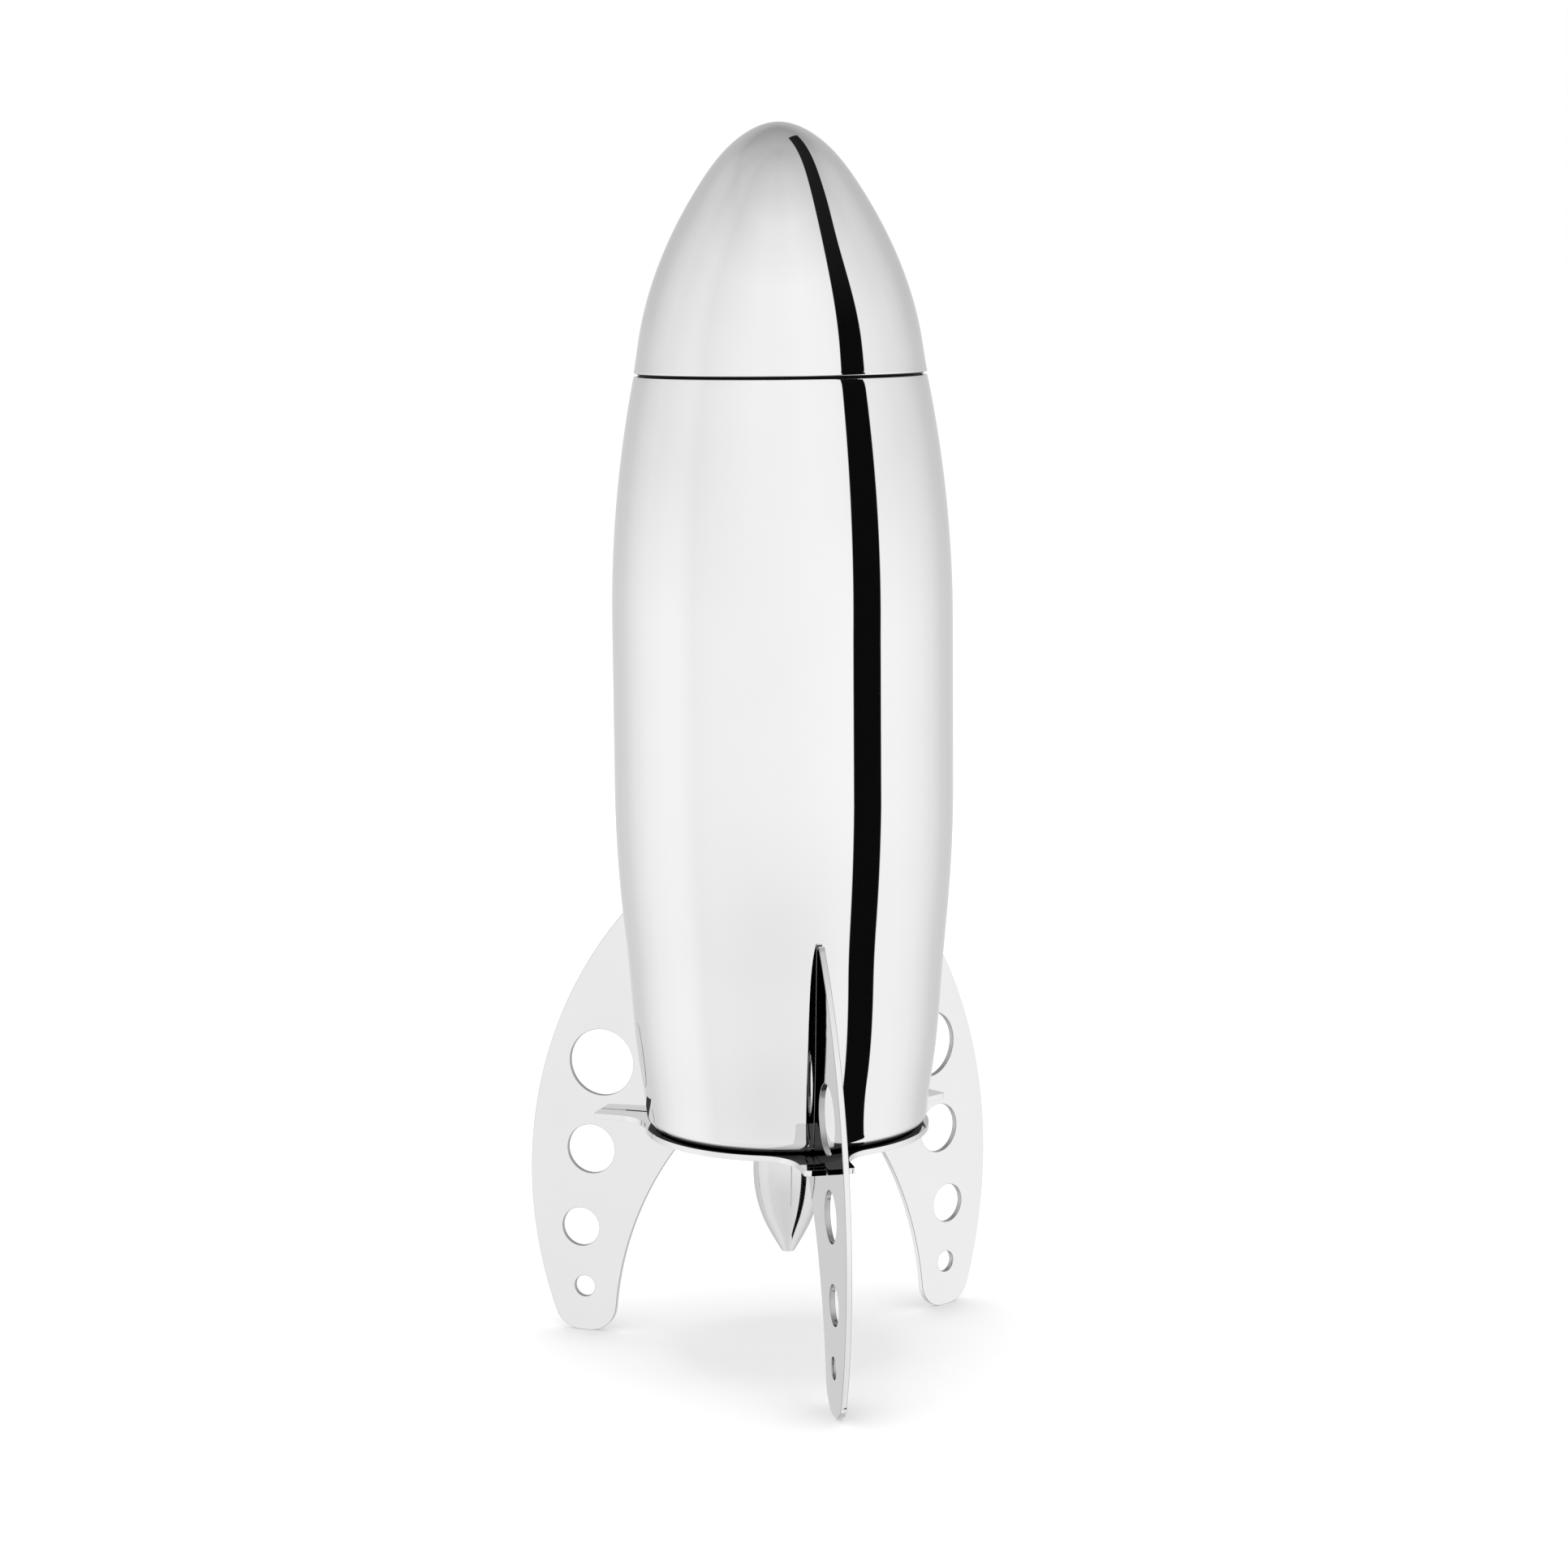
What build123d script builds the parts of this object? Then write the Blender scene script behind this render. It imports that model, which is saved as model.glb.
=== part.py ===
"""Rocket-shaped cocktail shaker standing loose in a three-fin stand. Millimetres, +Z up.

The origin is on the shaker's axis, at the height of the surface that the three feet stand on.
The front fin points along -Y.
"""
from build123d import *
from math import asin, cos, sin, sqrt
import os

# Sheets and walls
SHEET = 1.5              # fins and stand plate
WALL = 0.8               # drawn steel of the shaker, the strainer and the cap
WELD_GAP = 0.03          # between welded or pressed pieces
LIP_ROUND = 0.3          # polished edges of the drawn pieces
SEAL_GAP = 0.1           # silicone to the steel that it slides in or over
NEAR = 0.01              # closer than this counts as the same place

# Shaker body
BARREL_RADIUS = 43.5     # widest outer radius
SEAM_DROP = 6.35         # the barrel's radius is smaller by this at the seam
BASE_DROP = 7.0          # ... and by this above the rounded bottom edge
BODY_HEIGHT = 193.4      # seat to the barrel's top edge
STRAIGHT_LOW = 88.8      # above the seat, where the straight stretch begins
STRAIGHT_HIGH = 62.4     # below the top edge, where it ends
LOWER_DROPS = ((19.0, 4.85), (44.0, 2.68), (59.4, 1.26))   # height above the seat, drop
BARREL_LEAN = 0.1        # outward lean just above the bottom edge
BASE_ROUND = 3.2         # bottom edge radius
BASE_HOLE_INSET = 7.0    # from the barrel's foot to the hole that the bottom disc closes
BASE_LAP = 2.6           # bottom disc over that hole's rim
MOUTH_WALL_IN = 3.35     # from the barrel's inner wall at the seam to the mouth's bore
MOUTH_DEPTH = 12.0
MOUTH_STEP = 0.4         # collar's shoulder below the barrel's top edge

# Strainer lid
SEAL_THICKNESS = 1.5     # strainer seal, ribs included
SEAL_HEIGHT = 7.0
SEAL_TOP = 2.4           # below the flange
RIB_DEPTH = 0.6
RIB_COUNT = 3
SLEEVE_DEPTH = 12.8      # strainer sleeve below its flange
BEAD = 0.5               # rolled bead under the seal
FLANGE_GAP = 0.8         # flange to the barrel's inner wall
NECK_RADIUS = 27.9       # pouring neck, outside
NECK_HEIGHT = 14.5       # above the flange
NECK_ROUND = 2.5         # edge between the neck and its turned-in rim
NECK_RIM = 1.5           # flat of that rim
DISC_LAP = 1.3           # strainer disc under the rim
DISC_CROWN = 2.6         # rise of the disc's perforated middle
HOLE_RADIUS = 1.6        # strainer holes
HOLE_RING_PITCH = 5.2    # from one ring of holes to the next

# Nose cap
NOSE_HEIGHT = 62.37      # from its lower edge to the tip
SEAM_GAP = 0.7           # body to nose, as seen
# height above the lower edge, radius out of the seam radius
NOSE_POINTS = ((10.4, 1.72), (26.6, 6.47), (46.75, 16.98), (58.78, 27.57))
NOSE_SLOPE = 0.185       # inward lean of the nose at its lower edge
CAP_SEAL_THICKNESS = 1.2
CAP_SEAL_HEIGHT = 8.0
CAP_COLLAR_HEIGHT = 11.5
CAP_STEP = 0.3           # collar flange below the nose's lower edge

# Stand
SEAT_HEIGHT = 61.2       # top of the plate above the feet
RIM = 0.5                # plate's disc beyond the barrel's foot
ARM_WIDTH = 12.9
ARM_REACH = 15.1         # arm beyond the barrel's foot
ARM_FILLET = 12.0        # between arm and disc
ARM_CORNER = 1.0
LAP_DEPTH = 7.1          # halved joint of arm and fin, in from the arm's end
FIN_COUNT = 3
FIN_GAP = 0.6            # fin to barrel
FIN_REACH = 28.35        # fin's widest point beyond the barrel's widest radius
FIN_WIDEST = 41.9        # its height
FIN_OUTER_ARC = 109.7
FIN_LEG_REACH = 5.25     # inner edge's widest point beyond the barrel's widest radius
FIN_LEG_WIDEST = -2.2
FIN_LEG_ARC = 89.8
FOOT_RADIUS = 7.6
FIN_TIP_WIDTH = 1.1      # blunt top
TIP_SEARCH_STEPS = 30    # halvings in the search for the top's height
# out of the barrel's widest radius, height, radius
FIN_HOLES = ((7.8, 73.7, 8.9), (11.17, 49.95, 6.6), (14.45, 28.4, 5.2), (13.6, 12.1, 2.85))

# Tail cone and its screw
CONE_TOP_RADIUS = 7.6
CONE_RADIUS = 8.87
CONE_WIDEST = 14.9       # below the plate's top
CONE_FLANK = (26.0, 6.42)    # below the plate's top, radius
CONE_TIP_RADIUS = 1.7
CONE_LENGTH = 34.75      # plate's top to the tip
SCREW_RADIUS = 2.0
SCREW_LENGTH = 10.0
SCREW_HEAD_RADIUS = 3.4
SCREW_CLEARANCE = 0.05
SCREW_SUNK = 0.1
SCREW_TAP_SPARE = 2.0    # tapped hole beyond the screw's end
SOCKET_FLAT_RADIUS = 1.25
SOCKET_DEPTH = 1.2

# Worked out
PLATE_BOTTOM = SEAT_HEIGHT - SHEET
BODY_TOP = SEAT_HEIGHT + BODY_HEIGHT
SEAM_RADIUS = BARREL_RADIUS - SEAM_DROP
FOOT_OF_BARREL = BARREL_RADIUS - BASE_DROP
SHOULDER = BODY_TOP - MOUTH_STEP
MOUTH_RADIUS = SEAM_RADIUS - WALL - MOUTH_WALL_IN
FLANGE_TOP = SHOULDER + WALL
SLEEVE_RADIUS = MOUTH_RADIUS - SEAL_GAP - SEAL_THICKNESS
NOSE_BOTTOM = BODY_TOP + SEAM_GAP
NECK_TOP = FLANGE_TOP + NECK_HEIGHT
NECK_OPENING = NECK_RADIUS - NECK_ROUND - NECK_RIM
CROWN_RADIUS = NECK_OPENING - DISC_LAP / 2
HOLE_RINGS = int((CROWN_RADIUS - HOLE_RADIUS) / HOLE_RING_PITCH)
CAP_FLANGE_TOP = FLANGE_TOP + WALL
NOSE_TIP = NOSE_BOTTOM + NOSE_HEIGHT
ARM_END = FOOT_OF_BARREL + ARM_REACH
LAP_RADIUS = ARM_END - LAP_DEPTH


def lathe(edges, axis_edges):
    """Turn an outline of radii and heights, closed along the axis where it needs that."""
    return revolve(Plane.XZ * make_face(Curve() + edges + axis_edges), Axis.Z, 360)


def ring(inner, outer, low, high):
    """A plain ring of rectangular section."""
    section = Circle(outer) - Circle(inner) if inner else Circle(outer)
    return Pos(0, 0, low) * extrude(section, high - low)


def round_circles(solid, radius, height):
    """Round the circular edges that lie at one height."""
    edges = solid.edges().filter_by(GeomType.CIRCLE).filter_by_position(Axis.Z, height, height)
    return fillet(edges, radius)


def lower_curve(inset, foot_height):
    """The barrel's outline from above its bottom edge to the straight stretch."""
    widest = BARREL_RADIUS - inset
    stations = [(widest - drop, SEAT_HEIGHT + height) for height, drop in LOWER_DROPS]
    stations = [(FOOT_OF_BARREL - inset, foot_height), *stations, (widest, SEAT_HEIGHT + STRAIGHT_LOW)]
    return Spline(*stations, tangents=[(BARREL_LEAN, 1), (0, 1)])


def barrel(inset, bottom, top_overrun=0.0):
    """The barrel's volume, drawn in by inset from the outer surface, flat at bottom."""
    low = SEAT_HEIGHT + STRAIGHT_LOW
    high = BODY_TOP - STRAIGHT_HIGH
    widest = BARREL_RADIUS - inset
    foot = FOOT_OF_BARREL - inset
    edge_round = BASE_ROUND - inset
    foot_height = bottom + edge_round
    arc = (STRAIGHT_HIGH ** 2 + SEAM_DROP ** 2) / (2 * SEAM_DROP)
    half = asin(STRAIGHT_HIGH / arc) / 2
    middle = (widest - arc + arc * cos(half), high + arc * sin(half))
    seam = (widest - SEAM_DROP, BODY_TOP)
    corner = edge_round * (1 - sqrt(0.5))
    edges = [
        Line((0, bottom), (foot - edge_round, bottom)),
        ThreePointArc((foot - edge_round, bottom), (foot - corner, bottom + corner), (foot, foot_height)),
        lower_curve(inset, foot_height),
        Line((widest, low), (widest, high)),
        ThreePointArc((widest, high), middle, seam),
    ]
    roof = BODY_TOP + top_overrun
    sides = [Line(seam, (seam[0], roof))] if top_overrun else []
    close = [Line((seam[0], roof), (0, roof)), Line((0, roof), (0, bottom))]
    return lathe(edges + sides, close)


def body_shell():
    """Barrel wall, turned in at the bottom around a hole."""
    inside = barrel(WALL, SEAT_HEIGHT + WALL, top_overrun=WALL)
    hole = Cylinder(FOOT_OF_BARREL - BASE_HOLE_INSET, 4 * WALL)
    shell = barrel(0, SEAT_HEIGHT) - inside - Pos(0, 0, SEAT_HEIGHT) * hole
    return round_circles(shell, LIP_ROUND, BODY_TOP)


def body_base():
    """Disc welded inside, over the hole in the barrel's bottom."""
    radius = FOOT_OF_BARREL - BASE_HOLE_INSET + BASE_LAP
    low = SEAT_HEIGHT + WALL
    return round_circles(ring(0, radius, low, low + WALL), LIP_ROUND, low + WALL)


def mouth_collar():
    """Ring welded in the barrel's top: a shoulder and the straight bore of the mouth."""
    outer = SEAM_RADIUS - WALL - WELD_GAP
    shoulder = ring(MOUTH_RADIUS, outer, SHOULDER - WALL, SHOULDER)
    bore = ring(MOUTH_RADIUS, MOUTH_RADIUS + WALL, SHOULDER - MOUTH_DEPTH, SHOULDER)
    return round_circles(shoulder + bore, LIP_ROUND, SHOULDER - MOUTH_DEPTH)


def strainer_insert():
    """Sleeve with a bead at its foot and a flange that rests on the mouth's shoulder."""
    flange_radius = SEAM_RADIUS - WALL - FLANGE_GAP
    sleeve_bottom = SHOULDER - SLEEVE_DEPTH
    sleeve = ring(SLEEVE_RADIUS - WALL, SLEEVE_RADIUS, sleeve_bottom, SHOULDER)
    bead = ring(SLEEVE_RADIUS - WALL, SLEEVE_RADIUS + BEAD, sleeve_bottom, sleeve_bottom + WALL)
    flange = ring(NECK_RADIUS + WELD_GAP, flange_radius, SHOULDER, FLANGE_TOP)
    return round_circles(sleeve + bead + flange, LIP_ROUND, sleeve_bottom)


def pouring_neck():
    """Spun neck with a turned-in rim, welded in the flange's bore."""
    mouth = ring(0, NECK_OPENING, FLANGE_TOP, NECK_TOP + WALL)
    return neck(0) - neck(WALL) - mouth


def neck(inset):
    """The neck's volume from the flange up, drawn in by inset, with a rounded edge."""
    radius = NECK_RADIUS - inset
    top = NECK_TOP - inset
    edge_round = NECK_ROUND - inset
    corner = edge_round * (1 - sqrt(0.5))
    shoulder = radius - edge_round
    edges = [
        Line((radius, SHOULDER), (radius, top - edge_round)),
        ThreePointArc((radius, top - edge_round), (radius - corner, top - corner), (shoulder, top)),
        Line((shoulder, top), (0, top)),
    ]
    return lathe(edges, [Line((0, top), (0, SHOULDER)), Line((0, SHOULDER), (radius, SHOULDER))])


def strainer_disc():
    """Perforated disc under the neck's rim, its middle crowned up through the opening."""
    rim_top = NECK_TOP - WALL
    disc = ring(0, NECK_OPENING + DISC_LAP, rim_top - WALL, rim_top) + crown(CROWN_RADIUS, rim_top)
    disc -= crown(CROWN_RADIUS - WALL, rim_top - WALL)
    drill = Cylinder(HOLE_RADIUS, 4 * DISC_CROWN)
    for ring_number in range(HOLE_RINGS + 1):
        for place in PolarLocations(ring_number * HOLE_RING_PITCH, max(1, 6 * ring_number)):
            disc -= Pos(0, 0, rim_top) * place * drill
    return disc


def crown(radius, low):
    """Shallow dome that rises from a flat at low, reaching a little below it."""
    top = low + DISC_CROWN
    arc = (radius ** 2 + DISC_CROWN ** 2) / (2 * DISC_CROWN)
    half = asin(radius / arc) / 2
    dome = ThreePointArc((radius, low), (arc * sin(half), top - arc + arc * cos(half)), (0, top))
    floor = low - WALL / 2
    close = [Line((0, top), (0, floor)), Line((0, floor), (radius, floor)), Line((radius, floor), (radius, low))]
    return lathe([dome], close)


def strainer_seal():
    """Silicone ring around the sleeve, with sealing ribs."""
    top = SHOULDER - SEAL_TOP
    low = top - SEAL_HEIGHT
    outer = MOUTH_RADIUS - SEAL_GAP
    inner = SLEEVE_RADIUS + WELD_GAP
    seal = ring(inner, outer - RIB_DEPTH, low, top)
    pitch = SEAL_HEIGHT / RIB_COUNT
    for number in range(RIB_COUNT):
        middle = low + pitch * (number + 0.5)
        seal += ring(inner, outer, middle - pitch / 4, middle + pitch / 4)
    return seal


def nose_outline(inset):
    """The nose's curve from its lower edge to its tip, drawn in by inset along its normal."""
    points = [(SEAM_RADIUS - inward, NOSE_BOTTOM + up) for up, inward in NOSE_POINTS]
    points = [(SEAM_RADIUS, NOSE_BOTTOM), *points, (0, NOSE_TIP)]
    tangents = [(-NOSE_SLOPE, 1), (-1, 0)]
    outer = Spline(*points, tangents=tangents)
    if not inset:
        return outer
    steps = 2 * len(points)
    inner = []
    for number in range(steps + 1):
        share = number / steps
        along = outer % share
        inner.append(outer @ share + Vector(-along.Y, along.X, 0) * inset)
    return Spline(*inner, tangents=tangents)


def nose_volume(inset):
    """The nose as a full volume, open downwards past its lower edge when drawn in."""
    curve = nose_outline(inset)
    start = curve @ 0
    tip = curve @ 1
    floor = NOSE_BOTTOM - WALL if inset else NOSE_BOTTOM
    skirt = [Line((start.X, floor), (start.X, start.Y))] if inset else []
    close = [Line((tip.X, tip.Y), (0, floor)), Line((0, floor), (start.X, floor))]
    return lathe([curve] + skirt, close)


def nose_shell():
    """Ogive cap with a rounded lip at the seam."""
    shell = nose_volume(0) - nose_volume(WALL)
    return round_circles(shell, LIP_ROUND, NOSE_BOTTOM)


def cap_collar():
    """Inner sleeve of the cap, with a flange out to the nose shell that closes its base."""
    inner = NECK_RADIUS + SEAL_GAP + CAP_SEAL_THICKNESS
    flange = ring(inner, SEAM_RADIUS, FLANGE_TOP, CAP_FLANGE_TOP) & cap_room()
    sleeve = ring(inner, inner + WALL, FLANGE_TOP, FLANGE_TOP + CAP_COLLAR_HEIGHT)
    return round_circles(flange + sleeve, LIP_ROUND, FLANGE_TOP + CAP_COLLAR_HEIGHT)


def cap_room():
    """Room inside the nose shell, with the weld gap, reaching below the seam."""
    start = nose_outline(WALL + WELD_GAP) @ 0
    return ring(0, start.X - NOSE_SLOPE * WALL, NOSE_BOTTOM - SEAM_GAP, NOSE_TIP)


def cap_seal():
    """Silicone sleeve that lines the cap's collar and grips the neck."""
    inner = NECK_RADIUS + SEAL_GAP
    outer = inner + CAP_SEAL_THICKNESS - WELD_GAP
    low = FLANGE_TOP + CAP_STEP
    return ring(inner, outer, low, low + CAP_SEAL_HEIGHT)


def stand_plate():
    """Disc with three arms, each halved at its end for a fin, and a countersunk middle hole."""
    disc_radius = FOOT_OF_BARREL + RIM
    outline = Circle(disc_radius)
    for place in PolarLocations(0, FIN_COUNT, start_angle=-90):
        outline += place * Pos(ARM_END / 2, 0) * Rectangle(ARM_END, ARM_WIDTH)
    roots = outline.vertices().filter_by(lambda v: abs(Vector(v.X, v.Y).length - disc_radius) < NEAR)
    outline = fillet(roots, ARM_FILLET)
    corners = outline.vertices().filter_by(lambda v: Vector(v.X, v.Y).length > ARM_END)
    outline = fillet(corners, ARM_CORNER)
    slot_middle = (LAP_RADIUS + ARM_END) / 2
    for place in PolarLocations(0, FIN_COUNT, start_angle=-90):
        slot = Rectangle(LAP_DEPTH + 2 * WELD_GAP, SHEET + 2 * WELD_GAP)
        outline -= place * Pos(slot_middle, 0) * slot
    plate = Pos(0, 0, PLATE_BOTTOM) * extrude(outline, SHEET)
    return plate - screw_volume(SCREW_CLEARANCE)


def fin_blank():
    """One fin in the XZ plane, along +X, before the barrel's contour is cut away."""
    outer_widest = BARREL_RADIUS + FIN_REACH
    inner_widest = BARREL_RADIUS + FIN_LEG_REACH

    def outer(height):
        """Point of the outer edge's arc at a height."""
        rise = height - FIN_WIDEST
        return (outer_widest - FIN_OUTER_ARC + sqrt(FIN_OUTER_ARC ** 2 - rise ** 2), height)

    def inner(height):
        """Point of the leg's inner arc at a height."""
        rise = height - FIN_LEG_WIDEST
        return (inner_widest - FIN_LEG_ARC + sqrt(FIN_LEG_ARC ** 2 - rise ** 2), height)

    tip_height = fin_tip_height(outer)
    tip = outer(tip_height)
    under = PLATE_BOTTOM - WELD_GAP
    edges = [
        Line(inner(0), outer(0)),
        ThreePointArc(outer(0), outer(SEAT_HEIGHT), tip),
        Line(tip, (FOOT_OF_BARREL, tip_height)),
        Line((FOOT_OF_BARREL, tip_height), (FOOT_OF_BARREL, under)),
        Line((FOOT_OF_BARREL, under), inner(under)),
        ThreePointArc(inner(under), inner(under / 2), inner(0)),
    ]
    face = make_face(Curve() + edges)
    foot = face.vertices().filter_by(lambda v: v.Y < NEAR)
    return fillet(foot, FOOT_RADIUS)


def fin_tip_height(outer):
    """Height at which the fin, beside the barrel, has narrowed to its blunt tip's width."""
    curve = lower_curve(-FIN_GAP, SEAT_HEIGHT + BASE_ROUND)
    low, high = 0.0, 1.0
    for _ in range(TIP_SEARCH_STEPS):
        middle = (low + high) / 2
        beside = curve @ middle
        room = outer(beside.Y)[0] - beside.X
        low, high = (middle, high) if room > FIN_TIP_WIDTH else (low, middle)
    return (curve @ low).Y


def fin(angle):
    """A sheet fin at an angle around the axis, halved where the plate's arm passes through it."""
    face = fin_blank()
    for outward, height, radius in FIN_HOLES:
        face -= Pos(BARREL_RADIUS + outward, height) * Circle(radius)
    slot_height = SHEET + 2 * WELD_GAP
    slot = Rectangle(LAP_RADIUS, slot_height, align=(Align.MIN, Align.CENTER))
    face -= Pos(0, PLATE_BOTTOM + SHEET / 2) * slot
    sheet = extrude(Plane.XZ * face, SHEET / 2, both=True)
    clearance = barrel(-FIN_GAP, SEAT_HEIGHT - FIN_GAP)
    return Rot(0, 0, angle) * (sheet - clearance)


def screw_volume(clearance):
    """Countersunk screw without its socket, grown by a clearance."""
    shank = SCREW_RADIUS + clearance
    sunk = 0 if clearance else SCREW_SUNK
    head = SCREW_HEAD_RADIUS + SCREW_SUNK - sunk + clearance
    top = SEAT_HEIGHT - sunk
    low = top - SCREW_LENGTH - (SCREW_TAP_SPARE if clearance else 0)
    edges = [
        Line((0, top), (head, top)),
        Line((head, top), (shank, top - (head - shank))),
        Line((shank, top - (head - shank)), (shank, low)),
        Line((shank, low), (0, low)),
    ]
    return lathe(edges, [Line((0, low), (0, top))])


def tail_cone_screw():
    """Countersunk socket screw that pulls the cone to the plate."""
    top = SEAT_HEIGHT - SCREW_SUNK
    socket = extrude(RegularPolygon(SOCKET_FLAT_RADIUS, 6, major_radius=False), -SOCKET_DEPTH)
    return screw_volume(0) - Pos(0, 0, top) * socket


def tail_cone():
    """Turned drop under the plate, tapped from above."""
    top = PLATE_BOTTOM
    tip = SEAT_HEIGHT - CONE_LENGTH
    widest = (CONE_RADIUS, SEAT_HEIGHT - CONE_WIDEST)
    flank = (CONE_FLANK[1], SEAT_HEIGHT - CONE_FLANK[0])
    edges = [
        Line((0, top), (CONE_TOP_RADIUS, top)),
        Spline((CONE_TOP_RADIUS, top), widest, flank, (CONE_TIP_RADIUS, tip)),
        Line((CONE_TIP_RADIUS, tip), (0, tip)),
    ]
    return lathe(edges, [Line((0, tip), (0, top))]) - screw_volume(SCREW_CLEARANCE)


PIECES = {
    "stand_plate": stand_plate(),
    "fin_front": fin(-90),
    "fin_right": fin(30),
    "fin_left": fin(150),
    "tail_cone": tail_cone(),
    "tail_cone_screw": tail_cone_screw(),
    "body_shell": body_shell(),
    "body_base": body_base(),
    "mouth_collar": mouth_collar(),
    "strainer_insert": strainer_insert(),
    "pouring_neck": pouring_neck(),
    "strainer_disc": strainer_disc(),
    "strainer_seal": strainer_seal(),
    "nose_shell": nose_shell(),
    "cap_collar": cap_collar(),
    "cap_seal": cap_seal(),
}

os.makedirs("parts", exist_ok=True)
for name, piece in PIECES.items():
    export_step(piece, f"parts/{name}.step")
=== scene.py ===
import logging
import math
from collections.abc import Iterable
from dataclasses import dataclass
from enum import Enum

import bmesh
import bpy
import numpy as np
from mathutils import Matrix, Vector
from mathutils.geometry import interpolate_bezier


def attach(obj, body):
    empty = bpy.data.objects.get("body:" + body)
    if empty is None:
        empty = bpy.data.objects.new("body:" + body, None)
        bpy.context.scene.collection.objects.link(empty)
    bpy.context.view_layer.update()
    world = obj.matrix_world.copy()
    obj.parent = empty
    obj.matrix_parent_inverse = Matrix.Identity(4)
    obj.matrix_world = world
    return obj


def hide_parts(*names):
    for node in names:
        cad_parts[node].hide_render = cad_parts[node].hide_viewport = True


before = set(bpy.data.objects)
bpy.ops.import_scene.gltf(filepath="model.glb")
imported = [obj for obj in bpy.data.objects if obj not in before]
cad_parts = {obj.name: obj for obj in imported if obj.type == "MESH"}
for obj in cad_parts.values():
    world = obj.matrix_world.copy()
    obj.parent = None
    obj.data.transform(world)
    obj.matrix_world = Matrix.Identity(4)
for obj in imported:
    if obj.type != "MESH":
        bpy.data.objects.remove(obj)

# Looks of a rocket-shaped cocktail shaker that stands loose in a stand of three pierced fins.
# Outlines are in millimetres, radius and height on the shaker's axis, and become metres in meshes.

LOG = logging.getLogger("shaker")
MM = 0.001
CUT_MARK = "cut_metal"           # the face attribute of a sheet's cut rims
RIM_ANGLE = math.radians(55)     # a sheet's rim folds more sharply than this
CREASE = math.radians(35)        # shading stays smooth across folds up to this
SAME_PLACE = 1e-7                # metres
FINE_TURN = 224                  # facets around the barrel and the nose
FIN_TURNS = {"front": -90, "right": 30, "left": 150}   # degrees

Point = tuple[float, float]
Corner = tuple[float, float, float]   # place and the radius that rounds it
Ends = tuple[float, float]
Stops = tuple[Ends, ...]


class Body(Enum):
    """The bodies that move on their own."""

    STAND = "stand"
    SHAKER = "shaker_body"
    LID = "strainer_lid"
    CAP = "nose_cap"


class Slot(Enum):
    """The record's material slots."""

    POLISHED = "polished_steel"
    SATIN = "satin_steel"
    SILICONE = "silicone"
    SCREW = "screw_steel"


class Grain(Enum):
    """How fine polishing lines run."""

    TURNED = "around the axis"
    SHEET = "up the sheet"


# Shader maths


class Signal:
    """A shader value; an expression on it adds Math nodes."""

    def __init__(self, tree: bpy.types.NodeTree, socket: bpy.types.NodeSocket) -> None:
        """Wraps an output socket of a node tree."""
        self.tree = tree
        self.socket = socket

    def math(self, operation: str, *others: "Signal | float", clamp: bool = False) -> "Signal":
        """Adds one Math node.

        Args:
            operation: the node's operation.
            others: the values after this one, signals or numbers.
            clamp: whether the result is kept from 0 to 1.

        Returns:
            The node's result.
        """
        return self._join(operation, (self, *others), clamp)

    def _join(self, operation: str, terms: Iterable["Signal | float"],
              clamp: bool = False) -> "Signal":
        """Adds a Math node on terms in their order and returns its result.

        Args:
            operation: the node's operation.
            terms: its inputs.
            clamp: whether it is kept from 0 to 1.

        Returns:
            The node's result.
        """
        node = self.tree.nodes.new("ShaderNodeMath")
        node.operation = operation
        node.use_clamp = clamp
        for socket, term in zip(node.inputs, terms):
            if isinstance(term, Signal):
                self.tree.links.new(term.socket, socket)
            else:
                socket.default_value = term
        return Signal(self.tree, node.outputs[0])

    def __add__(self, other: "Signal | float") -> "Signal":
        """Sum."""
        return self.math("ADD", other)

    def __radd__(self, other: float) -> "Signal":
        """Sum with a number first."""
        return self.math("ADD", other)

    def __sub__(self, other: "Signal | float") -> "Signal":
        """Difference."""
        return self.math("SUBTRACT", other)

    def __rsub__(self, other: float) -> "Signal":
        """Difference with a number first."""
        return self._join("SUBTRACT", (other, self))

    def __mul__(self, other: "Signal | float") -> "Signal":
        """Product."""
        return self.math("MULTIPLY", other)

    def __rmul__(self, other: float) -> "Signal":
        """Product with a number first."""
        return self.math("MULTIPLY", other)

    def __truediv__(self, other: "Signal | float") -> "Signal":
        """Quotient."""
        return self.math("DIVIDE", other)

    def __pow__(self, other: float) -> "Signal":
        """Power."""
        return self.math("POWER", other)

    def rise(self, start: float, end: float) -> "Signal":
        """0 below start to 1 above end, in a straight ramp."""
        return ((self - start) / (end - start)).math("ADD", 0.0, clamp=True)


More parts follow.
